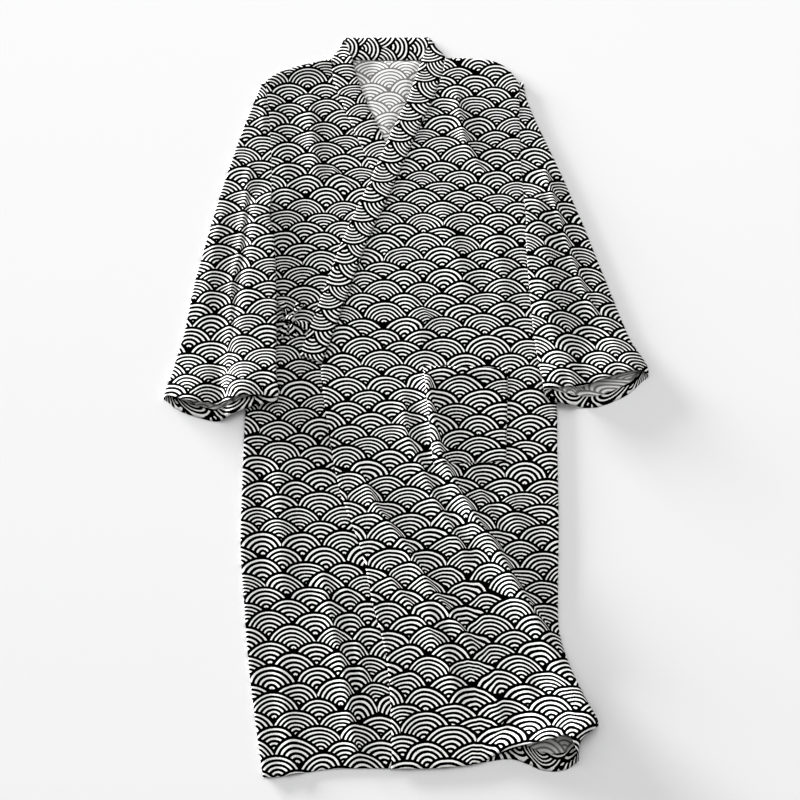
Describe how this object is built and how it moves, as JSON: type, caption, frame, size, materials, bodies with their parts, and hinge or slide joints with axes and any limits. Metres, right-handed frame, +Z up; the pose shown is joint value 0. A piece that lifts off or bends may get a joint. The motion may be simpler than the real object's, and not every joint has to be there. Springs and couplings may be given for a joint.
{
  "type": "yukata robe",
  "caption": "Long cotton wrap robe laid out flat and closed left over right, with wide open sleeves, a collar band round the neck, a patch pocket and a small tied bow at the side.",
  "frame": {"origin": "middle of the robe's outline, on the surface it lies on", "axes": "+Z up from the surface, +Y from the hem to the collar, +X towards the wearer's left side"},
  "size_m": [0.787, 1.2979, 0.0312],
  "materials": {
    "cotton_print": "matt plain-weave cotton, black with white overlapping wave arcs",
    "cotton_wrong_side": "matt plain-weave cotton, the paler wrong side of the print, which shows in the neck and at the hem"
  },
  "bodies": {
    "root": {"back_panel": "cotton_wrong_side", "right_front": "cotton_print", "left_front": "cotton_print", "right_sleeve": "cotton_print", "left_sleeve": "cotton_print", "collar_band": "cotton_print", "patch_pocket": "cotton_print", "tie_knot": "cotton_print", "tie_loop_left": "cotton_print", "tie_loop_right": "cotton_print", "tie_tail_left": "cotton_print", "tie_tail_right": "cotton_print", "tie_strap_band": "cotton_print", "tie_strap_side": "cotton_print"}
  },
  "joints": []
}
